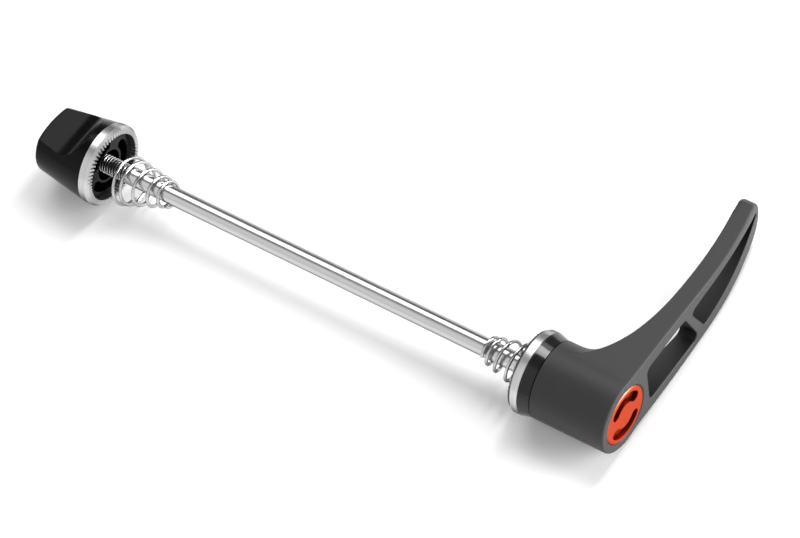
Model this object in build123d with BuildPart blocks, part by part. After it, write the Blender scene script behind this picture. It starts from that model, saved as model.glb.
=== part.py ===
from build123d import *
import os
from math import asin, atan2, cos, degrees, hypot, pi, radians, sin, sqrt

os.makedirs("parts", exist_ok=True)

# The skewer lies on a flat surface. X runs along the rod, from the nut to the lever, and Z is up.
# The origin is on the rod's axis, in the plane of the lever-side tooth tips.

# Rod
rod_r = 2.5
thread_root_r = 2.02
thread_pitch = 0.8
clamp_gap = 130.8
thread_shown = 5.0
tip_inset = 2.0
rod_in_hub = 7.2

# Clamp rings with radial teeth
ring_r = 11.4
ring_len = 3.2
ring_band = 2.0
ring_wall = 1.9
ring_bevel = 0.8
tooth_count = 60
tooth_depth = 0.6
tooth_land = 0.12

# Nut
nut_len = 19.3
nut_end_r = 9.0
nut_end_round = 0.9
nut_dome = 1.2
recess_depth = 1.8
flat_height = 6.7
flat_len = 6.4
flat_end = 1.8
pocket_r = 6.5
pocket_width = 2.7
pocket_sweep = 60.0
pocket_turn = -8.5
pocket_depth = 4.0
nut_throat_r = 4.4
nut_throat_depth = 3.6

# Conical springs on the rod
coil_wire_r = 0.45
coil_large_r = 6.6
coil_small_r = 3.3
coil_len = 15.2
coil_turns = 5.2
coil_start = 95.0
coil_closing = 0.5
coil_steps = 16
nut_coil_ahead = 3.8
lever_coil_len = 13.8

# Collar, washer and drive hub
collar_len = 3.1
collar_taper = 0.8
collar_well_r = 8.25
collar_well_depth = 1.75
washer_len = 1.0
hub_flange_r = 7.9
hub_flange_len = 3.05
spline_count = 18
spline_root_r = 6.2
spline_tip_r = 7.0
spline_len = 3.4
nose_r = 4.0
nose_len = 9.2

# Lever
drum_step = 0.7
drum_gap = 0.3
drum_len = 21.6
arm_thick = 5.0
arm_tip_thick = 4.5
arm_flat = 39.0
arm_bend_r = 114.0
arm_len = 70.6
face_step = 0.45
upper_edge_r = 750.0
lower_edge_r = 240.0
lower_edge_start = 11.0
flare_start = 9.2
flare_reach = 38.0
web_len = 2.25
spring_well_r = 7.0
tip_round = 2.0
drum_blend = 8.0
edge_round = 0.7
slot_edge = 0.2
slot_wall = 3.4
slot_wall_low = 2.8
rib_lean = 0.43
slot_near = 10.7
slot_mid = 31.2
rib_width = 2.6
slot_tip_wall = 3.1
slot_tip_half = 0.9
far_wall = 2.5

# Spline ring, return spring and its seat, screw and cap
spline_ring_r = 9.0
spline_ring_len = 3.0
return_wire_r = 0.3
return_coil_r = 5.3
return_turns = 4.5
seat_r = 6.2
seat_len = 0.8
screw_r = 1.97
screw_reach = 7.0
screw_head_r = 4.2
screw_head_len = 2.4
screw_key = 2.5
screw_key_depth = 1.4
cap_r = 8.1
cap_len = 3.0
cap_mouth = 0.4
cap_pocket_r = 5.3
cap_pocket_width = 3.0
cap_pocket_sweep = 104.0
cap_pocket_turn = -8.0
cap_pocket_depth = 1.2
cap_edge = 0.3

# Clearances
press_gap = 0.02
running_gap = 0.05
thread_gap = 0.08
spline_gap = 0.09
coil_gap = 0.2

# Radii that follow the rings
ring_bore_r = ring_r - ring_wall
ring_face_r = ring_r - ring_bevel
collar_end_r = ring_r - collar_taper
drum_r = ring_r - drum_step
face_r = drum_r - face_step

# Places along the rod
nut_face_x = -clamp_gap
nut_back_x = nut_face_x - ring_len
nut_floor_x = nut_face_x - recess_depth
nut_end_x = nut_face_x - nut_len
rod_tip_x = nut_end_x + tip_inset
thread_end_x = nut_face_x + thread_shown
collar_end_x = ring_len + collar_len
washer_x = collar_end_x - collar_well_depth
hub_x = washer_x + washer_len + running_gap
spline_x = hub_x + hub_flange_len
nose_x = spline_x + spline_len
nose_end_x = nose_x + nose_len
rod_end_x = hub_x + rod_in_hub
drum_x = collar_end_x + drum_gap
face_x = drum_x + drum_len
web_x = nose_x + running_gap
well_x = web_x + web_len
cap_x = face_x - cap_len
seat_end_x = nose_end_x + seat_len

# The lever arm rests on its lower edge, an arc, so this is the turn that brings the arc to the floor
edge_centre_t = lower_edge_r - face_r
edge_reach = hypot(lower_edge_start, edge_centre_t)
arm_turn = asin((lower_edge_r - ring_r) / edge_reach) - atan2(edge_centre_t, lower_edge_start)
arm_dir = Vector(0, cos(arm_turn), sin(arm_turn))
arm_up = Vector(0, -sin(arm_turn), cos(arm_turn))
arm_deg = degrees(arm_turn)


def upper_edge(r):
    return face_r - upper_edge_r + sqrt(upper_edge_r**2 - r**2)


def lower_edge(r):
    return edge_centre_t - sqrt(lower_edge_r**2 - (r - lower_edge_start) ** 2)


def across(x):
    """Plane square to the rod at x, with its first axis along the lever arm."""
    return Plane(origin=(x, 0, 0), x_dir=arm_dir, z_dir=(1, 0, 0))


def front_x(r):
    """Outer face of the lever at r along the arm: flat, then an arc that bends inwards."""
    return face_x - arm_bend_r + sqrt(arm_bend_r**2 - max(r - arm_flat, 0) ** 2)


def coil_points(x_start, length, r_start, r_end, turns, lean=0.0, drop=0.0):
    """Points of a left-hand coil with closed ends, leaning and dropped where it hangs on the rod."""
    count = round(coil_steps * turns)
    side = -1 if length > 0 else 1
    points = []
    for i in range(count + 1):
        u = i / count
        angle = 2 * pi * turns * u + radians(coil_start)
        along = u - coil_closing * sin(2 * pi * u) / (2 * pi)
        r = r_start + (r_end - r_start) * along
        out = length * along
        up = side * r * sin(angle)
        x = x_start + out * cos(lean) - up * sin(lean)
        points.append(Vector(x, r * cos(angle), out * sin(lean) + up * cos(lean) - drop))
    return points


# Eight-sided wire with the section area of the round one, so that a coil has few facets
wire_side_ratio = sqrt(pi / (2 * sqrt(2)))

# Skewer rod, with its thread drawn at the root
with BuildPart() as skewer_rod:
    with BuildSketch(Plane.XY):
        with BuildLine():
            Polyline(
                (rod_tip_x, 0),
                (rod_tip_x, thread_root_r - 0.5),
                (rod_tip_x + 0.5, thread_root_r),
                (thread_end_x - thread_pitch, thread_root_r),
                (thread_end_x, rod_r),
                (rod_end_x - 0.5, rod_r),
                (rod_end_x, rod_r - 0.5),
                (rod_end_x, 0),
                close=True,
            )
        make_face()
    revolve(axis=Axis.X)
skewer_rod.part.label = "skewer_rod"
export_step(skewer_rod.part, "parts/skewer_rod.step")

# Cutter for the groove between two clamp teeth, along its own X axis, with the teeth facing its Z
tooth_pitch = 2 * pi * ring_face_r / tooth_count
groove_half = tooth_pitch / 2 - tooth_land / 2
with BuildPart() as groove:
    with BuildSketch(Plane.YZ.offset(ring_bore_r - 1)):
        Polygon((-groove_half, 0.01), (groove_half, 0.01), (0, -tooth_depth), align=None)
    extrude(amount=ring_r - ring_bore_r + 2)

# Nut clamp ring, teeth facing the lever
with BuildPart() as nut_clamp_ring:
    with BuildSketch(Plane.XY):
        Polygon(
            (nut_back_x, ring_bore_r),
            (nut_back_x, ring_r),
            (nut_back_x + ring_band, ring_r),
            (nut_face_x, ring_face_r),
            (nut_face_x, ring_bore_r),
            align=None,
        )
    revolve(axis=Axis.X)
    with Locations(Plane.YZ.offset(nut_face_x)):
        with PolarLocations(0, tooth_count):
            add(groove.part, mode=Mode.SUBTRACT)
nut_clamp_ring.part.label = "nut_clamp_ring"
export_step(nut_clamp_ring.part, "parts/nut_clamp_ring.step")

# Lever-side clamp ring, teeth facing the nut
with BuildPart() as lever_clamp_ring:
    with BuildSketch(Plane.XY):
        Polygon(
            (ring_len, ring_bore_r),
            (ring_len, ring_r),
            (ring_len - ring_band, ring_r),
            (0, ring_face_r),
            (0, ring_bore_r),
            align=None,
        )
    revolve(axis=Axis.X)
    with Locations(Plane(origin=(0, 0, 0), x_dir=(0, 1, 0), z_dir=(-1, 0, 0))):
        with PolarLocations(0, tooth_count):
            add(groove.part, mode=Mode.SUBTRACT)
lever_clamp_ring.part.label = "lever_clamp_ring"
export_step(lever_clamp_ring.part, "parts/lever_clamp_ring.step")

# Nut body: a turned cone with a nose for its ring, a pair of finger flats and pockets in its face
nut_bore_r = thread_root_r + thread_gap
nut_taper = (ring_r - nut_end_r) / (nut_len - ring_len)
flat_end_x = nut_back_x - flat_end
pocket_start = pocket_turn - pocket_sweep / 2
pocket_arcs = [CenterArc((0, 0), pocket_r, pocket_start + turn, pocket_sweep) for turn in (0, 120, 240)]
with BuildPart() as nut_body:
    with BuildSketch(Plane.XY):
        with BuildLine():
            cone = Polyline(
                (nut_floor_x, nut_bore_r),
                (nut_floor_x, ring_bore_r - press_gap),
                (nut_back_x, ring_bore_r - press_gap),
                (nut_back_x, ring_r - running_gap),
                (nut_end_x, nut_end_r),
            )
            dome = TangentArc((nut_end_x - nut_dome, nut_bore_r), cone @ 1, tangent=(0, 1))
            Line(dome @ 0, cone @ 0)
        make_face()
    revolve(axis=Axis.X)
    with BuildSketch(Plane(origin=(0, 0, 0), x_dir=(1, 0, 0), z_dir=-arm_dir)):
        with BuildLine():
            flat = Line((nut_end_x - 1, flat_height), (nut_end_x + flat_len, flat_height))
            rise = TangentArc(flat @ 1, (flat_end_x, ring_r - nut_taper * flat_end), tangent=(1, 0))
            Polyline(rise @ 1, (flat_end_x, 2 * ring_r), (nut_end_x - 1, 2 * ring_r), flat @ 0)
        make_face()
        mirror(about=Plane.XZ)
    extrude(amount=ring_r, both=True, mode=Mode.SUBTRACT)
    end_face = nut_body.faces().sort_by(Axis.X)[0]
    fillet(end_face.outer_wire().edges(), radius=nut_end_round)
    with BuildSketch(across(nut_floor_x)):
        Circle(nut_throat_r)
    extrude(amount=-nut_throat_depth, mode=Mode.SUBTRACT)
    with BuildSketch(across(nut_floor_x)):
        for arc in pocket_arcs:
            SlotArc(arc, pocket_width)
    extrude(amount=-pocket_depth, mode=Mode.SUBTRACT)
nut_body.part.label = "nut_body"
export_step(nut_body.part, "parts/nut_body.step")

# Conical spring on the nut side, leaning so that the tops of its coils lie along the rod
coil_half = coil_wire_r * wire_side_ratio
coil_lean = atan2(coil_large_r - coil_small_r, coil_len)
coil_drop = coil_large_r * cos(coil_lean) - rod_r - coil_half - coil_gap
nut_coil_x = nut_face_x + nut_coil_ahead
nut_coil = coil_points(
    nut_coil_x, coil_len, coil_large_r, coil_small_r, coil_turns, coil_lean, coil_drop
)
with BuildPart() as nut_spring:
    with BuildLine() as nut_coil_path:
        Polyline(*nut_coil)
    with BuildSketch(Plane(origin=nut_coil[0], z_dir=nut_coil[1] - nut_coil[0])):
        RegularPolygon(coil_half, 8)
    sweep(path=nut_coil_path.line, transition=Transition.RIGHT)
nut_spring.part.label = "nut_spring"
export_step(nut_spring.part, "parts/nut_spring.step")

# Conical spring on the lever side, its large end against the collar
lever_coil_x = recess_depth - coil_half - running_gap
lever_coil = coil_points(lever_coil_x, -lever_coil_len, coil_large_r, coil_small_r, coil_turns)
with BuildPart() as lever_spring:
    with BuildLine() as lever_coil_path:
        Polyline(*lever_coil)
    with BuildSketch(Plane(origin=lever_coil[0], z_dir=lever_coil[1] - lever_coil[0])):
        RegularPolygon(coil_half, 8)
    sweep(path=lever_coil_path.line, transition=Transition.RIGHT)
lever_spring.part.label = "lever_spring"
export_step(lever_spring.part, "parts/lever_spring.step")

# Thrust collar, pressed into the lever-side ring and free to turn on the rod
with BuildPart() as thrust_collar:
    with BuildSketch(Plane.XY):
        Polygon(
            (recess_depth, rod_r + running_gap),
            (recess_depth, ring_bore_r - press_gap),
            (ring_len, ring_bore_r - press_gap),
            (ring_len, ring_r - running_gap),
            (collar_end_x, collar_end_r),
            (collar_end_x, collar_well_r),
            (washer_x, collar_well_r),
            (washer_x, rod_r + running_gap),
            align=None,
        )
    revolve(axis=Axis.X)
thrust_collar.part.label = "thrust_collar"
export_step(thrust_collar.part, "parts/thrust_collar.step")

# Thrust washer between the collar and the hub
with BuildPart() as thrust_washer:
    with BuildSketch(Plane.YZ.offset(washer_x)):
        Circle(collar_well_r - running_gap)
        Circle(rod_r + coil_gap, mode=Mode.SUBTRACT)
    extrude(amount=washer_len)
thrust_washer.part.label = "thrust_washer"
export_step(thrust_washer.part, "parts/thrust_washer.step")

# Drive hub: a flange that takes the clamping force, splines that the lever drives, and a nose
spline_deg = 360 / spline_count
tooth_root_half = spline_root_r * sin(radians(spline_deg / 4))
tooth_tip_half = tooth_root_half * 0.62
hub_tooth = [
    (spline_root_r - 0.3, tooth_root_half),
    (spline_tip_r, tooth_tip_half),
    (spline_tip_r, -tooth_tip_half),
    (spline_root_r - 0.3, -tooth_root_half),
]
with BuildPart() as drive_hub:
    with BuildSketch(Plane.YZ.offset(hub_x)):
        Circle(hub_flange_r)
    extrude(amount=hub_flange_len)
    with BuildSketch(across(spline_x)):
        Circle(spline_root_r)
        with PolarLocations(0, spline_count):
            Polygon(*hub_tooth, align=None)
    extrude(amount=spline_len)
    with BuildSketch(Plane.YZ.offset(nose_x)):
        Circle(nose_r)
    extrude(amount=nose_len)
    with BuildSketch(Plane.YZ.offset(hub_x)):
        Circle(rod_r + press_gap)
    extrude(amount=rod_in_hub + running_gap, mode=Mode.SUBTRACT)
    with BuildSketch(Plane.YZ.offset(nose_end_x)):
        Circle(screw_r + press_gap)
    extrude(amount=-screw_reach, mode=Mode.SUBTRACT)
drive_hub.part.label = "drive_hub"
export_step(drive_hub.part, "parts/drive_hub.step")

# Spline ring, pressed into the lever, whose inner teeth lie between the hub's
ring_tooth_r = spline_root_r + spline_gap
ring_root_r = spline_tip_r + spline_gap
gap_tip_half = tooth_tip_half + spline_gap
gap_root_half = tooth_root_half + spline_gap
spline_gap_shape = [
    (spline_root_r - 0.3, gap_root_half),
    (ring_root_r, gap_tip_half),
    (ring_root_r, -gap_tip_half),
    (spline_root_r - 0.3, -gap_root_half),
]
with BuildPart() as spline_ring:
    with BuildSketch(across(nose_x - spline_ring_len)):
        Circle(spline_ring_r)
        Circle(ring_tooth_r, mode=Mode.SUBTRACT)
        with PolarLocations(0, spline_count):
            Polygon(*spline_gap_shape, align=None, mode=Mode.SUBTRACT)
    extrude(amount=spline_ring_len)
spline_ring.part.label = "spline_ring"
export_step(spline_ring.part, "parts/spline_ring.step")

# Lever: a drum that flares into an arm with two openings
arm_tip_r = arm_len + 3.0
arm_back_x = face_x - arm_thick
upper_end = arm_len - 3.6
lower_end = arm_len - 4.0
upper_mid = upper_end / 2
lower_mid = (lower_end + lower_edge_start) / 2
tip_mid_t = (upper_edge(upper_end) + lower_edge(lower_end)) / 2
slot_upper = upper_edge(slot_mid) - slot_wall
slot_lower = lower_edge(slot_mid) + slot_wall_low
rib_upper = slot_mid - rib_lean * slot_upper
rib_lower = slot_mid - rib_lean * slot_lower
slot_tip = arm_len - slot_tip_wall
far_mid = (slot_mid + slot_tip) / 2
slot_tip_t = upper_edge(slot_tip) - 1.9 * far_wall


def on_drum(corner):
    """True for a corner of the lever's outline where the arm leaves the drum."""
    return abs(hypot(corner.X, corner.Y) - drum_r) < 0.01 and corner.X > 0.1


def on_front(edge):
    """True for an edge that lies in the lever's outer face."""
    points = [edge @ u for u in (0, 0.3, 0.5, 0.7, 1)]
    reach = [p.dot(arm_dir) for p in points]
    seam = all(abs(r - arm_flat) < 0.01 for r in reach)
    return not seam and all(abs(p.X - front_x(r)) < 0.01 for p, r in zip(points, reach))


def on_mouth(edge):
    """True for the edge of the cap's bore in the outer face."""
    return abs((edge @ 0.5).X - face_x) < 0.01 and abs(edge.radius - cap_r - press_gap) < 0.01


with BuildPart() as lever:
    with BuildSketch(Plane.XY):
        with BuildLine():
            up = Polyline((drum_x, 0), (drum_x, drum_r), (flare_start, drum_r))
            flare = Bezier(up @ 1, (arm_back_x, drum_r), (arm_back_x, flare_reach))
            side = Line(flare @ 1, (face_x - 1, flare_reach))
            Polyline(side @ 1, (face_x - 1, drum_r), (face_x, drum_r), (face_x, 0), up @ 0)
        make_face()
    revolve(axis=Axis.X)
    with BuildSketch(Plane(origin=(0, 0, 0), x_dir=arm_dir, z_dir=-arm_up)):
        with BuildLine():
            front = Line((0, face_x), (arm_flat, face_x))
            bend = TangentArc(front @ 1, (arm_tip_r, front_x(arm_tip_r)), tangent=(1, 0))
            tip = Line(bend @ 1, (arm_tip_r, front_x(arm_tip_r) - arm_tip_thick))
            back = Line((0, arm_back_x), (arm_flat, arm_back_x))
            TangentArc(back @ 1, tip @ 1, tangent=(1, 0))
            Line(back @ 0, front @ 0)
        make_face()
    extrude(amount=drum_r, both=True)
    with BuildSketch(across(0)) as outline:
        with BuildLine():
            upper_tip = (upper_end, upper_edge(upper_end))
            upper = ThreePointArc((0, face_r), (upper_mid, upper_edge(upper_mid)), upper_tip)
            end = ThreePointArc(upper @ 1, (arm_len, tip_mid_t), (lower_end, lower_edge(lower_end)))
            lower = ThreePointArc(end @ 1, (lower_mid, lower_edge(lower_mid)), (lower_edge_start, -face_r))
            Polyline(lower @ 1, (0, -face_r), upper @ 0)
        make_face()
        Circle(drum_r)
        corners = outline.vertices().sort_by(Axis.X)
        fillet(corners[-2:], radius=tip_round)
        fillet(outline.vertices().filter_by(on_drum), radius=drum_blend)
    extrude(amount=2 * face_x, mode=Mode.INTERSECT)
    fillet(lever.edges().filter_by(on_front), radius=edge_round)
    with BuildSketch(across(0)):
        with BuildLine():
            Polyline(
                (slot_near, slot_upper),
                (rib_upper, slot_upper),
                (rib_lower, slot_lower),
                (slot_near, slot_lower),
                close=True,
            )
        near_slot = make_face()
        fillet(near_slot.vertices(), radius=1.9)
        with BuildLine():
            far_up = ThreePointArc(
                (rib_upper + rib_width, slot_upper - 0.6),
                (far_mid, upper_edge(far_mid) - far_wall),
                (slot_tip, slot_tip_t + slot_tip_half),
            )
            far_end = ThreePointArc(
                far_up @ 1,
                (slot_tip + slot_tip_half, slot_tip_t),
                (slot_tip, slot_tip_t - slot_tip_half),
            )
            far_low = ThreePointArc(
                far_end @ 1,
                (far_mid, lower_edge(far_mid) + 1.5 * slot_wall_low),
                (rib_lower + rib_width, slot_lower + 1.4),
            )
            Line(far_low @ 1, far_up @ 0)
        far_slot = make_face()
        fillet(far_slot.vertices().sort_by(Axis.X)[:2], radius=1.5)
    extrude(amount=2 * face_x, mode=Mode.SUBTRACT)
    chamfer(lever.edges(Select.LAST).filter_by(on_front), length=slot_edge)
    with BuildSketch(Plane.YZ.offset(drum_x)):
        Circle(spline_ring_r + press_gap)
    extrude(amount=web_x - drum_x, mode=Mode.SUBTRACT)
    with BuildSketch(Plane.YZ.offset(web_x)):
        Circle(nose_r + running_gap)
    extrude(amount=web_len, mode=Mode.SUBTRACT)
    with BuildSketch(Plane.YZ.offset(well_x)):
        Circle(spring_well_r)
    extrude(amount=cap_x - well_x, mode=Mode.SUBTRACT)
    with BuildSketch(Plane.YZ.offset(cap_x)):
        Circle(cap_r + press_gap)
    extrude(amount=cap_len, mode=Mode.SUBTRACT)
    chamfer(lever.edges().filter_by(GeomType.CIRCLE).filter_by(on_mouth), length=cap_mouth)
lever.part.label = "lever"
export_step(lever.part, "parts/lever.step")

# Return spring that pulls the lever back onto the splines
return_half = return_wire_r * wire_side_ratio
return_coil_x = well_x + return_half + running_gap
return_coil_len = nose_end_x - return_half - running_gap - return_coil_x
return_coil = coil_points(return_coil_x, return_coil_len, return_coil_r, return_coil_r, return_turns)
with BuildPart() as return_spring:
    with BuildLine() as return_path:
        Polyline(*return_coil)
    with BuildSketch(Plane(origin=return_coil[0], z_dir=return_coil[1] - return_coil[0])):
        RegularPolygon(return_half, 8)
    sweep(path=return_path.line, transition=Transition.RIGHT)
return_spring.part.label = "return_spring"
export_step(return_spring.part, "parts/return_spring.step")

# Spring seat, clamped on the nose by the screw
with BuildPart() as spring_seat:
    with BuildSketch(Plane.YZ.offset(nose_end_x)):
        Circle(seat_r)
        Circle(screw_r + running_gap, mode=Mode.SUBTRACT)
    extrude(amount=seat_len)
spring_seat.part.label = "spring_seat"
export_step(spring_seat.part, "parts/spring_seat.step")

# Retaining screw with a hexagon socket
with BuildPart() as retaining_screw:
    with BuildSketch(Plane.YZ.offset(seat_end_x)):
        Circle(screw_head_r)
    extrude(amount=screw_head_len)
    with BuildSketch(Plane.YZ.offset(seat_end_x)):
        Circle(screw_r)
    extrude(amount=-(seat_len + screw_reach - running_gap))
    with BuildSketch(Plane.YZ.offset(seat_end_x + screw_head_len)):
        RegularPolygon(screw_key / 2, 6, major_radius=False)
    extrude(amount=-screw_key_depth, mode=Mode.SUBTRACT)
retaining_screw.part.label = "retaining_screw"
export_step(retaining_screw.part, "parts/retaining_screw.step")

# End cap with two curved pockets for a pin spanner
cap_start = 90 + cap_pocket_turn - cap_pocket_sweep / 2
cap_arcs = [CenterArc((0, 0), cap_pocket_r, cap_start + turn, cap_pocket_sweep) for turn in (0, 180)]
with BuildPart() as end_cap:
    with BuildSketch(Plane.YZ.offset(cap_x)):
        Circle(cap_r)
    extrude(amount=cap_len)
    rim = end_cap.faces().sort_by(Axis.X)[-1].edges()
    chamfer(rim, length=cap_edge)
    with BuildSketch(across(face_x)):
        for arc in cap_arcs:
            SlotArc(arc, cap_pocket_width)
    extrude(amount=-cap_pocket_depth, mode=Mode.SUBTRACT)
end_cap.part.label = "end_cap"
export_step(end_cap.part, "parts/end_cap.step")

print("arm turn", round(arm_deg, 2), "degrees")
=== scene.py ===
# %% [markdown]
# # A quick release skewer
# A skewer clamps a bicycle wheel into its frame. A thin steel rod goes through the hollow axle, with a
# finger nut on one end and a lever on the other. The solids come from the CAD source, and this lesson
# dresses them: smooth metal, a real thread, round spring wire, finishes, floor, light and camera.

# %% Load the solids
from math import cos, pi, radians, sin

import bmesh
import bpy
from mathutils import Matrix, Vector


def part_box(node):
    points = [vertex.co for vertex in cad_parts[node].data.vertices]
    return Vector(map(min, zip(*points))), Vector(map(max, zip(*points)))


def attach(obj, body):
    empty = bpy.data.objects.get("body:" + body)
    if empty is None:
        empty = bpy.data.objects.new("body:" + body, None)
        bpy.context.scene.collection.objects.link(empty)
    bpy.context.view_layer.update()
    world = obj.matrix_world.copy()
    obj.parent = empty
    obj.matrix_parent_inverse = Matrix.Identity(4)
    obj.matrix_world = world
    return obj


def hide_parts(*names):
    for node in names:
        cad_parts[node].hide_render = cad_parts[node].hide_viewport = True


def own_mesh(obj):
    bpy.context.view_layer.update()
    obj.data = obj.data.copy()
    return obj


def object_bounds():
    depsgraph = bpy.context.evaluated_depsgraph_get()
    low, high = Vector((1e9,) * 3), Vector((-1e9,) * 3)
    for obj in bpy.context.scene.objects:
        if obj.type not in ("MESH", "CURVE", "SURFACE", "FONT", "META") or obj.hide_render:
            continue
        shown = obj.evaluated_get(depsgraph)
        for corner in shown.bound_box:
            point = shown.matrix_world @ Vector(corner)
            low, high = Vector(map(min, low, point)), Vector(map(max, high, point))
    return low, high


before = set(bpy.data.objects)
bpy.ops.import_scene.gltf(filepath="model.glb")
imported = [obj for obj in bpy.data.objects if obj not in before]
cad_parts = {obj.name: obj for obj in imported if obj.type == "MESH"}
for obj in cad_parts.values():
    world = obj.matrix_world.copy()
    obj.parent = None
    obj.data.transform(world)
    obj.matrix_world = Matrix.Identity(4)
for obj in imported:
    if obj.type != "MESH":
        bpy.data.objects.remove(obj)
cad_low, cad_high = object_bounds()
scene = bpy.context.scene
mm = 0.001
print("solids:", len(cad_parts), "box in mm:", [round(v / mm, 1) for v in cad_high - cad_low])

# %% [markdown]
# ## The camera
# The photograph is a product picture taken with a long lens, so the rod hardly narrows with distance.
# One could move a camera by eye until it looks right. Here the place and the three directions were
# measured from the round ends of the nut, the rings and the drum, and the lens follows from them. They
# count from the point where the rod's axis meets the lever's front, and a tilt about that axis brings
# them into this frame, where the skewer lies on the floor.

# %% Camera
photo_px = 800
focal_px = 4504.3
tilt_deg = -6.11
lever_front_x = 28.2 * mm
view_tilt = Matrix.Rotation(radians(tilt_deg), 3, "X")
eye = view_tilt @ Vector((0.3950, -0.5585, 0.8847)) + Vector((lever_front_x, 0, 0))
look = (view_tilt @ Vector((-0.4079, 0.4936, -0.7681))).normalized()
right = (view_tilt @ Vector((0.8228, 0.5634, -0.0749))).normalized()
above = right.cross(look).normalized()


def put_in(name, data):
    thing = bpy.data.objects.new(name, data)
    scene.collection.objects.link(thing)
    return thing


lens = bpy.data.cameras.new("camera")
lens.sensor_width = 36.0
lens.lens = focal_px / photo_px * lens.sensor_width
lens.clip_end = 50.0
camera = put_in("camera", lens)
camera.matrix_world = Matrix.Translation(eye) @ Matrix((right, above, -look)).transposed().to_4x4()
scene.camera = camera
scene.view_settings.view_transform = "Standard"
print("lens in mm:", round(lens.lens, 1), "distance in m:", round(eye.length, 2))

# %% [markdown]
# ## Floor and light
# The skewer lies on a white table under soft boxes. A white floor can be faked with a glowing plane, but
# then it takes no shadow. Here it is a pale sheet, lit at the level where white comes out white, and it
# is wide enough that its edge stays out of the picture.

# %% Floor
def mesh_from(bm, name):
    mesh = bpy.data.meshes.new(name)
    bm.to_mesh(mesh)
    bm.free()
    return mesh


floor_r = 6.0
bm = bmesh.new()
bmesh.ops.create_circle(bm, cap_ends=True, segments=96, radius=floor_r)
bmesh.ops.translate(bm, verts=bm.verts, vec=(0, 0, cad_low.z))
floor = put_in("floor", mesh_from(bm, "floor"))
print("floor at mm:", round(cad_low.z / mm, 2))

# %% [markdown]
# The floor is painted board. One even colour would do from far off, but the board's colour changes very
# slightly from place to place, and a slow noise between two near whites keeps it a surface.

# %% Floor finish
board = bpy.data.materials.new("white_board")
board.use_nodes = True
board_nodes, board_links = board.node_tree.nodes, board.node_tree.links
board_shader = board_nodes["Principled BSDF"]
board_place = board_nodes.new("ShaderNodeTexCoord")
board_noise = board_nodes.new("ShaderNodeTexNoise")
board_noise.inputs["Scale"].default_value = 3.0
board_ramp = board_nodes.new("ShaderNodeValToRGB")
board_ramp.color_ramp.elements[0].color = (0.955, 0.955, 0.955, 1)
board_ramp.color_ramp.elements[1].color = (0.975, 0.975, 0.975, 1)
board_links.new(board_place.outputs["Object"], board_noise.inputs["Vector"])
board_links.new(board_noise.outputs["Fac"], board_ramp.inputs["Fac"])
board_links.new(board_ramp.outputs["Color"], board_shader.inputs["Base Color"])
board_shader.inputs["Roughness"].default_value = 0.9
board_shader.inputs["Specular IOR Level"].default_value = 0.1
floor.data.materials.append(board)
print("floor finish:", board.name)

# %% [markdown]
# Metal shows what stands around it, and under an even grey world steel looks like plastic. The studio
# here is bright in front and to the right, as from white walls, and dark overhead and behind, which
# draws the dark lines along the rod. Each world direction has an X, Y and Z, so two ramps do it.

# %% World
world = bpy.data.worlds.new("studio")
scene.world = world
world.use_nodes = True
studio, studio_links = world.node_tree.nodes, world.node_tree.links
toward = studio.new("ShaderNodeTexCoord")
axes = studio.new("ShaderNodeSeparateXYZ")
studio_links.new(toward.outputs["Generated"], axes.inputs["Vector"])


def wall(axis, starts, full, level):
    ramp = studio.new("ShaderNodeMapRange")
    ramp.interpolation_type = "SMOOTHSTEP"
    for socket, value in zip(("From Min", "From Max", "To Min", "To Max"), (starts, full, 0.0, level)):
        ramp.inputs[socket].default_value = value
    studio_links.new(axes.outputs[axis], ramp.inputs["Value"])
    print("wall along", axis, "level:", level)
    return ramp.outputs["Result"]


front_wall = wall("Y", starts=-0.1, full=-0.5, level=0.75)
right_wall = wall("X", starts=0.1, full=0.7, level=0.45)
dim = 0.14
both = studio.new("ShaderNodeMath")
both.operation = "MAXIMUM"
studio_links.new(front_wall, both.inputs[0])
studio_links.new(right_wall, both.inputs[1])
lifted = studio.new("ShaderNodeMath")
lifted.operation = "ADD"
lifted.inputs[1].default_value = dim
studio_links.new(both.outputs["Value"], lifted.inputs[0])
studio_links.new(lifted.outputs["Value"], studio["Background"].inputs["Color"])

# %% [markdown]
# One large soft box hangs behind and above the part. It gives the long white line on the rod and a soft
# shadow towards the camera. A narrow strip beside it puts the sharp bright patch on the black collar,
# which a brighter box could do too, but only with the floor burnt out. A lower strip stands at the
# lever's end, so that its front face and edges stand out from the dark sides and openings.

# %% Soft boxes
def soft_light(name, place, aim, wide, tall, watts):
    light = bpy.data.lights.new(name, "AREA")
    light.shape = "RECTANGLE"
    light.size, light.size_y, light.energy = wide, tall, watts
    holder = put_in(name, light)
    holder.location = place
    holder.rotation_euler = (Vector(aim) - Vector(place)).to_track_quat("-Z", "Y").to_euler()
    print(name, "watts:", watts)


soft_light("soft_box", place=(-0.32, 0.42, 0.71), aim=(-0.07, 0, 0), wide=1.0, tall=0.5, watts=4.9)
soft_light("collar_strip", place=(0.02, 0.34, 0.63), aim=(0.005, 0, 0.011), wide=0.1, tall=0.3, watts=1.5)
soft_light("end_strip", place=(0.55, 0.30, 0.12), aim=(0.02, 0.02, 0), wide=0.5, tall=0.2, watts=7.5)

# %% [markdown]
# ## Shared surface effects
# Several finishes need the same effects, so each effect is a node group, built once: the grain of bead
# blasting, the rings of a lathe, the painted shade in the gaps of cut teeth, the lines of drawn bar, and
# how open a point lies to the air, which leads the painted shade in hollows. A group puts out plain
# values, and each finish decides what they do.

# %% Group helper
def effect_group(name, inputs, outputs):
    group = bpy.data.node_groups.new(name, "ShaderNodeTree")
    for socket, value in inputs.items():
        made = group.interface.new_socket(socket, in_out="INPUT", socket_type="NodeSocketFloat")
        made.default_value = value
    for socket in outputs:
        group.interface.new_socket(socket, in_out="OUTPUT", socket_type="NodeSocketFloat")
    print("effect:", name)
    return group, group.nodes.new("NodeGroupInput"), group.nodes.new("NodeGroupOutput")


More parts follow.
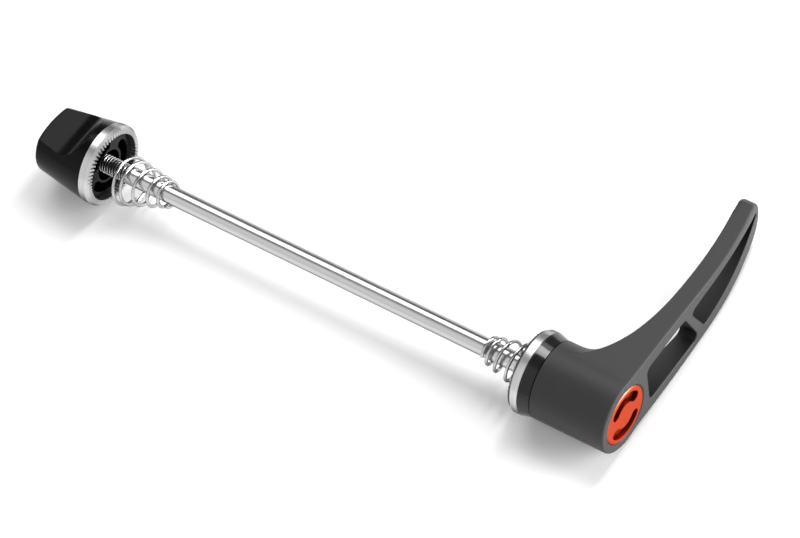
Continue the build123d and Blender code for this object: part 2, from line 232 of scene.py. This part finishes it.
# %% [markdown]
# Bead blasting leaves tiny dents. Modelled dents would be millions of faces, so noise gives their height,
# and a slower noise gives a soft cloud that keeps a large plain surface from looking sprayed on.

# %% Blasted grain
blasted, start, end = effect_group("blasted_grain", {"Grain": 5000.0, "Cloud": 90.0}, ["Height", "Cloud"])
place = blasted.nodes.new("ShaderNodeTexCoord")
grain = blasted.nodes.new("ShaderNodeTexNoise")
grain.inputs["Detail"].default_value = 2.0
cloud = blasted.nodes.new("ShaderNodeTexNoise")
cloud.inputs["Detail"].default_value = 3.0
for noise, socket in ((grain, "Grain"), (cloud, "Cloud")):
    blasted.links.new(place.outputs["Object"], noise.inputs["Vector"])
    blasted.links.new(start.outputs[socket], noise.inputs["Scale"])
blasted.links.new(grain.outputs["Fac"], end.inputs["Height"])
blasted.links.new(cloud.outputs["Fac"], end.inputs["Cloud"])

# %% [markdown]
# A lathe tool leaves rings round the axis. A ring texture has its own centre to set. All turned pieces
# here share the rod's axis, which is the X axis, so the distance from it and the place along it already
# say where a ring lies, and noise over those two gives the rings.

# %% Lathe rings
turned, start, end = effect_group("lathe_rings", {"Rings": 4000.0}, ["Height", "Reach"])
place = turned.nodes.new("ShaderNodeTexCoord")
split = turned.nodes.new("ShaderNodeSeparateXYZ")
flat_out = turned.nodes.new("ShaderNodeCombineXYZ")
reach = turned.nodes.new("ShaderNodeVectorMath")
reach.operation = "LENGTH"
ring_place = turned.nodes.new("ShaderNodeCombineXYZ")
ring_noise = turned.nodes.new("ShaderNodeTexNoise")
ring_noise.inputs["Detail"].default_value = 2.0
turned.links.new(place.outputs["Object"], split.inputs["Vector"])
turned.links.new(split.outputs["Y"], flat_out.inputs["Y"])
turned.links.new(split.outputs["Z"], flat_out.inputs["Z"])
turned.links.new(flat_out.outputs["Vector"], reach.inputs[0])
turned.links.new(split.outputs["X"], ring_place.inputs["X"])
turned.links.new(reach.outputs["Value"], ring_place.inputs["Y"])
turned.links.new(ring_place.outputs["Vector"], ring_noise.inputs["Vector"])
turned.links.new(start.outputs["Rings"], ring_noise.inputs["Scale"])
turned.links.new(ring_noise.outputs["Fac"], end.inputs["Height"])
turned.links.new(reach.outputs["Value"], end.inputs["Reach"])

# %% [markdown]
# The gaps between a ring's teeth get painted shade, for the little light that gets down there. They
# are too fine for the render's own shadows, so how deep a point lies in a gap is stored on the ring's
# mesh, 0 at the bottom and 1 elsewhere, and this group mixes it with the lathe rings.

# %% Painted shade in tooth gaps
painted_gap_shade, start, end = effect_group("painted_gap_shade", {"Rings": 4000.0}, ["Height", "Depth"])
depth_store = painted_gap_shade.nodes.new("ShaderNodeAttribute")
depth_store.attribute_name = "tooth_depth"
lathe = painted_gap_shade.nodes.new("ShaderNodeGroup")
lathe.node_tree = turned
shade = painted_gap_shade.nodes.new("ShaderNodeMapRange")
shade.inputs["From Min"].default_value, shade.inputs["From Max"].default_value = 0.3, 0.7
shade.inputs["To Min"].default_value, shade.inputs["To Max"].default_value = 0.8, 1.0
mixed = painted_gap_shade.nodes.new("ShaderNodeMath")
mixed.operation = "MULTIPLY"
painted_gap_shade.links.new(start.outputs["Rings"], lathe.inputs["Rings"])
painted_gap_shade.links.new(lathe.outputs["Height"], shade.inputs["Value"])
painted_gap_shade.links.new(shade.outputs["Result"], mixed.inputs[0])
painted_gap_shade.links.new(depth_store.outputs["Fac"], mixed.inputs[1])
painted_gap_shade.links.new(mixed.outputs["Value"], end.inputs["Depth"])
painted_gap_shade.links.new(lathe.outputs["Height"], end.inputs["Height"])

# %% [markdown]
# Bar that is drawn through a die has long faint lines. Noise stretched along X gives them, with no need
# of a mapped picture.

# %% Drawn lines
drawn, start, end = effect_group("drawn_lines", {"Lines": 1.0}, ["Height"])
place = drawn.nodes.new("ShaderNodeTexCoord")
stretch = drawn.nodes.new("ShaderNodeMapping")
stretch.inputs["Scale"].default_value = (12.0, 2600.0, 2600.0)
line_noise = drawn.nodes.new("ShaderNodeTexNoise")
line_noise.inputs["Detail"].default_value = 3.0
drawn.links.new(place.outputs["Object"], stretch.inputs["Vector"])
drawn.links.new(stretch.outputs["Vector"], line_noise.inputs["Vector"])
drawn.links.new(start.outputs["Lines"], line_noise.inputs["Scale"])
drawn.links.new(line_noise.outputs["Fac"], end.inputs["Height"])

# %% [markdown]
# Openings and pockets get painted shade, darker where less light reaches in. One could paint them by
# hand. Ambient occlusion finds them: it says how open a point is to the air within a set reach,
# looking only at its own piece.

# %% Open air, for painted hollow shade
open_air, start, end = effect_group("open_air", {"Reach": 0.01}, ["Open"])
air = open_air.nodes.new("ShaderNodeAmbientOcclusion")
air.only_local = True
open_air.links.new(start.outputs["Reach"], air.inputs["Distance"])
open_air.links.new(air.outputs["AO"], end.inputs["Open"])

# %% [markdown]
# ## Finishes
# Each finish is one Principled shader. Its colour and its roughness each run between two near values,
# led by one of the effects, and a very shallow bump takes the same effect. The bump is in metres, so a
# few millionths is already a visible grain.

# %% Finish helper
def finish(name, effect, dark, light, rough, bump, values=None, lead="Height", span=(0.3, 0.7), **constants):
    material = bpy.data.materials.new(name)
    material.use_nodes = True
    nodes, links = material.node_tree.nodes, material.node_tree.links
    shader = nodes["Principled BSDF"]
    source = nodes.new("ShaderNodeGroup")
    source.node_tree = effect
    for socket, value in (values or {}).items():
        source.inputs[socket].default_value = value
    share = nodes.new("ShaderNodeMapRange")
    share.inputs["From Min"].default_value, share.inputs["From Max"].default_value = span
    tone = nodes.new("ShaderNodeValToRGB")
    tone.color_ramp.elements[0].color = (*dark, 1)
    tone.color_ramp.elements[1].color = (*light, 1)
    gloss = nodes.new("ShaderNodeMapRange")
    gloss.inputs["To Min"].default_value, gloss.inputs["To Max"].default_value = rough
    dents = nodes.new("ShaderNodeBump")
    dents.inputs["Distance"].default_value = bump
    links.new(source.outputs[lead], share.inputs["Value"])
    links.new(share.outputs["Result"], tone.inputs["Fac"])
    links.new(share.outputs["Result"], gloss.inputs["Value"])
    links.new(source.outputs["Height"], dents.inputs["Height"])
    links.new(tone.outputs["Color"], shader.inputs["Base Color"])
    links.new(gloss.outputs["Result"], shader.inputs["Roughness"])
    links.new(dents.outputs["Normal"], shader.inputs["Normal"])
    for socket, value in constants.items():
        shader.inputs[socket.replace("_", " ")].default_value = value
    print("finish:", name)
    return material


# %% [markdown]
# The lever's openings and the cap's pockets are hollows of this kind, and they get painted shade. A
# second, darker finish on their walls would end in a hard line. Instead, this step goes between a
# finish's colour and its shader, and keeps only a share of the colour where the air is closed, as
# painted shade.

# %% Painted hollow shade helper
def paint_hollow_shade(material, reach, closed, wide_open, left):
    nodes, links = material.node_tree.nodes, material.node_tree.links
    colour = nodes["Principled BSDF"].inputs["Base Color"]
    tone = colour.links[0].from_socket
    air = nodes.new("ShaderNodeGroup")
    air.node_tree = open_air
    air.inputs["Reach"].default_value = reach
    kept = nodes.new("ShaderNodeMapRange")
    for socket, value in zip(("From Min", "From Max", "To Min"), (closed, wide_open, left)):
        kept.inputs[socket].default_value = value
    shaded = nodes.new("ShaderNodeVectorMath")
    shaded.operation = "SCALE"
    links.new(air.outputs["Open"], kept.inputs["Value"])
    links.new(tone, shaded.inputs["Vector"])
    links.new(kept.outputs["Result"], shaded.inputs["Scale"])
    links.new(shaded.outputs["Vector"], colour)
    print(material.name, "darker in hollows within mm:", round(reach / mm, 1))


# %% [markdown]
# The rod is bright drawn steel, the springs are bright wire, and the toothed rings and the inner pieces
# are turned steel with a satin look. Round bright steel has a dark line along its edges. On a white floor
# that line would vanish, so a dark tint of the specular colour, which works at grazing angles on metal,
# brings it back as a painted dark reflection. The thread is bright on its crests and dark in its grooves,
# where the dark is painted shade, led by the reach from the axis.

# %% Steel finishes
def grey(level):
    return (level, level, level)


# The dark edge tint is a painted dark reflection along grazing edges.
painted_dark_edge = (0.15, 0.15, 0.15, 1)
groove_r, crest_r = 2.2 * mm, 2.44 * mm
rod_steel = finish("rod_steel", drawn, grey(0.56), grey(0.68), rough=(0.16, 0.26), bump=1.5e-6,
                   Metallic=1.0, Specular_Tint=painted_dark_edge)
# The thread's dark end, grey(0.03) in the grooves, is painted shade.
thread_steel = finish("thread_steel", turned, grey(0.03), grey(0.75), rough=(0.32, 0.2), bump=1e-6,
                      values={"Rings": 3000.0}, lead="Reach", span=(groove_r, crest_r), Metallic=1.0)
spring_steel = finish("spring_steel", blasted, grey(0.5), grey(0.62), rough=(0.12, 0.22), bump=1e-6,
                      values={"Grain": 3000.0, "Cloud": 400.0}, lead="Cloud", Metallic=1.0,
                      Specular_Tint=painted_dark_edge)
# The dark end of ring_steel's colour is painted shade in the tooth gaps.
ring_steel = finish("ring_steel", painted_gap_shade, grey(0.015), grey(0.68), rough=(0.45, 0.28), bump=3e-6,
                    lead="Depth", span=(0.0, 1.0), Metallic=1.0, Specular_Tint=painted_dark_edge)
hub_steel = finish("hub_steel", turned, (0.4, 0.4, 0.41), (0.5, 0.5, 0.51), rough=(0.3, 0.42), bump=3e-6,
                   Metallic=1.0)

# %% [markdown]
# The nut and the collar are anodised black, which is dyed metal under a clear hard layer. A mirror-black
# shader would show the whole white floor, so both have a very dark base with a weak shine. The collar is
# glossier, and a thin smooth coat on top gives it the sharp bright patch.

# %% Black finishes
nut_black = finish("nut_black", blasted, (0.002, 0.002, 0.0023), (0.004, 0.004, 0.0043),
                   rough=(0.16, 0.24), bump=5e-7, values={"Grain": 2500.0, "Cloud": 120.0}, lead="Cloud",
                   Specular_IOR_Level=0.1)
collar_black = finish("collar_black", turned, (0.006, 0.006, 0.007), (0.012, 0.012, 0.013),
                      rough=(0.14, 0.22), bump=1e-6, values={"Rings": 5000.0}, Coat_Weight=0.25,
                      Coat_Roughness=0.04, Specular_IOR_Level=0.2)

# %% [markdown]
# The lever is blasted before it is anodised dark grey, so it is matte. The end cap is anodised in
# orange-red over turned metal, and the metal shows through the dye, so it is a metal with a red edge
# tint and not a red paint. The hidden washer is plain bearing plastic.

# %% Lever, cap and washer finishes
lever_grey = finish("lever_grey", blasted, (0.028, 0.028, 0.029), (0.035, 0.035, 0.036),
                    rough=(0.44, 0.52), bump=4e-6, values={"Grain": 4500.0, "Cloud": 60.0}, lead="Cloud",
                    Specular_IOR_Level=0.22)
# Painted shade in the lever's openings.
paint_hollow_shade(lever_grey, reach=14 * mm, closed=0.55, wide_open=0.98, left=0.05)
cap_red = finish("cap_red", turned, (0.53, 0.086, 0.05), (0.58, 0.096, 0.056), rough=(0.34, 0.42),
                 bump=1e-6, values={"Rings": 5000.0}, Metallic=1.0, Specular_Tint=(1.0, 0.5, 0.4, 1))
# Painted shade in the cap's pockets.
paint_hollow_shade(cap_red, reach=2.5 * mm, closed=0.6, wide_open=0.97, left=0.3)
washer_plastic = finish("washer_plastic", blasted, (0.8, 0.79, 0.73), (0.87, 0.86, 0.8),
                        rough=(0.45, 0.55), bump=2e-6, values={"Grain": 3000.0, "Cloud": 200.0},
                        lead="Cloud")

# %% [markdown]
# ## Smooth copies of the solids
# The CAD solids arrive as loose flat triangles, which show as facets on gloss. A copy is merged at its
# seams, edges sharper than a set angle stay sharp, and the rest is shaded smooth. A weighted normal
# modifier lets the large faces lead, so that a fillet doesn't bend the light on the flat beside it.

# %% Piece helpers
seam = 1e-7


def soften(bm, sharp_deg=28):
    for edge in bm.edges:
        edge.smooth = edge.is_manifold and edge.calc_face_angle() < radians(sharp_deg)
    for face in bm.faces:
        face.smooth = True


def add_piece(name, mesh, material, body, node=None):
    mesh.materials.clear()
    mesh.materials.append(material)
    piece = put_in(name, mesh)
    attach(piece, body)
    if node:
        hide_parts(node)
    print(name, "faces:", len(mesh.polygons))
    return piece


def smooth_copy(node, name, body, material, sharp_deg=28):
    bm = bmesh.new()
    bm.from_mesh(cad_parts[node].data)
    bmesh.ops.remove_doubles(bm, verts=bm.verts, dist=seam)
    soften(bm, sharp_deg)
    for face in bm.faces:
        face.material_index = 0
    piece = add_piece(name, mesh_from(bm, name), material, body, node)
    evener = piece.modifiers.new("even_light", "WEIGHTED_NORMAL")
    evener.keep_sharp = True
    return piece


# %% [markdown]
# The nut is a tapered cone with flats for the fingers. It could be modelled anew, but its solid has every
# edge and fillet already, so a smooth copy takes its place. The next five pieces are made the same way.

# %% Nut
smooth_copy("nut_body", "finger_nut", "nut", nut_black)

# %% [markdown]
# Each end has a steel ring with radial teeth that bite into the frame. A ring's bevels are shallow, so its
# edges count as sharp from a smaller angle. Each corner in the bottom of a tooth gap is marked for the
# painted gap shade. On the nut's ring the teeth face the camera, and only the inner part of a gap gets the
# painted shade. The lever's ring is seen from behind, where the gaps' outer ends show, so its painted
# shade reaches further out.

# %% Toothed rings
shallow_deg = 20
gap_from, gap_to = 0.3 * mm, 0.7 * mm
nut_mark_r, lever_mark_r = 10.7 * mm, 11.2 * mm


def mark_gaps(piece, tip_x, away, mark_r):
    marks = piece.data.attributes.new("tooth_depth", "FLOAT", "POINT")
    deep = 0
    for corner, mark in zip(piece.data.vertices, marks.data):
        sunk = away * (corner.co.x - tip_x)
        in_gap = gap_from < sunk < gap_to and corner.co.yz.length < mark_r
        mark.value = 0.0 if in_gap else 1.0
        deep += in_gap
    print(piece.name, "corners in the gaps:", deep)


nut_ring = smooth_copy("nut_clamp_ring", "nut_toothed_ring", "nut", ring_steel, shallow_deg)
mark_gaps(nut_ring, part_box("nut_clamp_ring")[1].x, -1, nut_mark_r)
lever_ring = smooth_copy("lever_clamp_ring", "lever_toothed_ring", "clamp_head", ring_steel,
                         shallow_deg)
mark_gaps(lever_ring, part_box("lever_clamp_ring")[0].x, 1, lever_mark_r)

# %% [markdown]
# The collar carries the lever's ring, the lever's drum turns the rod, and the cap closes the drum. All
# three are smooth copies too. The collar's bevels are shallow like the rings'.

# %% Collar, lever and cap
smooth_copy("thrust_collar", "black_collar", "clamp_head", collar_black, shallow_deg)
lever = smooth_copy("lever", "lever_with_drum", "handle", lever_grey)
smooth_copy("end_cap", "red_cap", "handle", cap_red)

# %% [markdown]
# ## The lever's tip
# The thumb end is rounded on its back edge too. A bevel would do, but it has to run out to nothing along
# the arm, and on these small triangles it folds. So the end's wall is first cut into loops beside the
# back face, closer together towards the edge.

# %% Loops near the tip's back edge
round_r = 1.4 * mm
fade_from, fade_to = 9 * mm, 4 * mm
back_lean = 0.22
end_band = 0.2 * mm
loops = 6
wall_lean = 0.5
arm_turn_deg = -3.61
lying = Matrix.Rotation(radians(arm_turn_deg), 3, "X")
arm_along = lying @ Vector((0, 1, 0))


def is_wall(face):
    return abs(face.normal.x) < wall_lean


bm = bmesh.new()
bm.from_mesh(lever.data)
tip = max(corner.co.dot(arm_along) for corner in bm.verts)
tip_back = min(corner.co.x for corner in bm.verts if tip - corner.co.dot(arm_along) < end_band)
for step in range(loops):
    depth = round_r * (1 - sin(radians(90 / loops * step)))
    end_walls = [face for face in bm.faces if is_wall(face)
                 and any(tip - corner.co.dot(arm_along) < fade_from for corner in face.verts)]
    cut = set(end_walls)
    for face in end_walls:
        cut.update(face.edges, face.verts)
    bmesh.ops.bisect_plane(bm, geom=list(cut), dist=seam,
                           plane_no=Vector((1, 0, 0)) + back_lean * arm_along,
                           plane_co=tip * arm_along + Vector((tip_back + depth, 0, 0)))
bm.normal_update()
print("tip at mm:", round(tip / mm, 2), "corners:", len(bm.verts))

# %% [markdown]
# Each loop is then drawn inwards by its place on a quarter circle, less and less along the arm. The
# opening's walls lie here too and must stay, so only walls that face away from a point in the middle of
# the tip are drawn in.

# %% Rounded tip
core_back, core_x, core_up = 5 * mm, 21 * mm, 1.8 * mm
core = (tip - core_back) * arm_along + lying @ Vector((core_x, 0, core_up))
moves = {}
for corner in bm.verts:
    behind = tip - corner.co.dot(arm_along)
    outward = sum((face.normal for face in corner.link_faces if is_wall(face)), Vector())
    outward.x = 0
    outward.normalize()
    radius = round_r * min(1.0, max(0.0, (fade_from - behind) / (fade_from - fade_to)))
    depth = max(0.0, corner.co.x - tip_back - back_lean * behind)
    if depth < radius and outward.dot(corner.co - core) > 0:
        moves[corner] = outward * (radius - (radius ** 2 - (radius - depth) ** 2) ** 0.5)
for corner, move in moves.items():
    corner.co -= move
bm.normal_update()
soften(bm)
bm.to_mesh(lever.data)
bm.free()
print("corners drawn in at the tip:", len(moves))

# %% [markdown]
# The hub, its spline ring, the spring's seat and the screw are turned steel inside the lever, and a
# plastic washer lies between the hub and the collar. They could be copied like the rest, but at rest
# nothing shows them, so they keep their CAD meshes and only take their finish.

# %% Inner pieces
def finish_inner(node, material):
    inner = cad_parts[node]
    inner.data.materials.clear()
    inner.data.materials.append(material)
    print(node, "gets", material.name)


for node in ("drive_hub", "spline_ring", "spring_seat", "retaining_screw"):
    finish_inner(node, hub_steel)
finish_inner("thrust_washer", washer_plastic)

# %% [markdown]
# ## The rod
# The rod is a turned bar with its thread's root at one end. A cylinder would need its ends and its step
# cut in. A turned shape is its half outline spun about the axis, and a full spin with merged ends closes
# it.

# %% Rod
rod_r = 2.5 * mm
root_r = 2.02 * mm
pitch = 0.8 * mm
bevel = 0.5 * mm
thread_end = -125.8 * mm
rod_sides = 72
rod_low, rod_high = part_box("skewer_rod")


def chain(bm, points):
    corners = [bm.verts.new(point) for point in points]
    for first, second in zip(corners, corners[1:]):
        bm.edges.new((first, second))
    return bm.verts[:] + bm.edges[:]


def close_up(bm):
    bmesh.ops.remove_doubles(bm, verts=bm.verts, dist=seam)
    bmesh.ops.recalc_face_normals(bm, faces=bm.faces)
    soften(bm)


rod_outline = [(rod_low.x, 0), (rod_low.x, root_r - bevel), (rod_low.x + bevel, root_r),
               (thread_end - pitch, root_r), (thread_end, rod_r), (rod_high.x - bevel, rod_r),
               (rod_high.x, rod_r - bevel), (rod_high.x, 0)]
bm = bmesh.new()
bmesh.ops.spin(bm, geom=chain(bm, [(x, 0, r) for x, r in rod_outline]), cent=(0, 0, 0), axis=(1, 0, 0),
               angle=2 * pi, steps=rod_sides, use_merge=True)
close_up(bm)
add_piece("rod_bar", mesh_from(bm, "rod_bar"), rod_steel, "rod", "skewer_rod")

# %% [markdown]
# ## The thread
# The rod's end carries a right-hand M5 thread with a pitch of 0.8 mm. A bump texture would look flat at
# the edge, so the ridge is real: a small V is spun about the rod while each step also moves it along,
# which is what a screw-cutting lathe does.

# %% Thread ridge
ridge_from = rod_low.x + bevel
run_out = 0.4 * pitch
turns = (thread_end - run_out - ridge_from) / pitch
steps_per_turn = 36
thread_steps = int(turns * steps_per_turn)
ridge = [(-0.44, -0.03), (-0.06, 0.46), (0.06, 0.46), (0.44, -0.03)]
bm = bmesh.new()
ridge_line = chain(bm, [(ridge_from + along * pitch, 0, root_r + out * mm) for along, out in ridge])
bmesh.ops.spin(bm, geom=ridge_line, cent=(0, 0, 0), axis=(1, 0, 0),
               angle=2 * pi * thread_steps / steps_per_turn, steps=thread_steps,
               dvec=(pitch / steps_per_turn, 0, 0))
close_up(bm)
add_piece("rod_thread", mesh_from(bm, "rod_thread"), thread_steel, "rod")
print("thread turns:", round(turns, 1))

# %% [markdown]
# ## The springs
# The two springs on the rod are cones of bright wire, wound left-hand and closer at their ends, and a
# plain coil sits inside the drum. A screw modifier could wind them, but only at one even pitch. A curve
# with a round bevel is the natural way to draw wire, and a formula sets where each turn lies. It is made
# a mesh when it is drawn, so that its place is in its points.

# %% Spring winder
points_per_turn = 48
start_deg = 95
closing = 0.5


def wound_wire(name, node, body, start_x, length, large_r, small_r, turns, wire_r, lean=0.0, drop=0.0):
    count = round(points_per_turn * turns)
    side = -1 if length > 0 else 1
    wire = bpy.data.curves.new(name + "_line", "CURVE")
    wire.dimensions = "3D"
    wire.bevel_depth = wire_r
    wire.bevel_resolution = 4
    wire.use_fill_caps = True
    line = wire.splines.new("POLY")
    line.points.add(count)
    for i, point in enumerate(line.points):
        u = i / count
        angle = 2 * pi * turns * u + radians(start_deg)
        along = u - closing * sin(2 * pi * u) / (2 * pi)
        r = large_r + (small_r - large_r) * along
        out, up = length * along, side * r * sin(angle)
        point.co = (start_x + out * cos(lean) - up * sin(lean), r * cos(angle),
                    out * sin(lean) + up * cos(lean) - drop, 1)
    drawing = put_in(name + "_line", wire)
    bpy.context.view_layer.update()
    mesh = bpy.data.meshes.new_from_object(drawing.evaluated_get(bpy.context.evaluated_depsgraph_get()))
    bpy.data.objects.remove(drawing)
    for face in mesh.polygons:
        face.use_smooth = len(face.vertices) == 4
    return add_piece(name, mesh, spring_steel, body, node)


# %% [markdown]
# The two cones are alike and hold the nut and the lever away from the wheel while it is fitted. The one
# at the nut hangs on the rod and leans. The plain coil brings the lever back onto its splines. It gets
# shorter when the lever is pulled. Its mesh is then copied, so that it is its own. A real coil keeps
# its wire round.

# %% Three springs
cone = {"large_r": 6.6 * mm, "small_r": 3.3 * mm, "turns": 5.2, "wire_r": 0.45 * mm}
wound_wire("nut_side_spring", "nut_spring", "coil_nut_side", start_x=-127.0 * mm, length=15.2 * mm, **cone,
           lean=0.2138, drop=3.276 * mm)
wound_wire("lever_side_spring", "lever_spring", "rod", start_x=1.276 * mm, length=-13.8 * mm, **cone)
return_r = 5.3 * mm
inner_spring = wound_wire("lever_return_spring", "return_spring", "rod", start_x=14.716 * mm,
                          length=6.168 * mm, large_r=return_r, small_r=return_r, turns=4.5,
                          wire_r=0.3 * mm)
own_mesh(inner_spring)
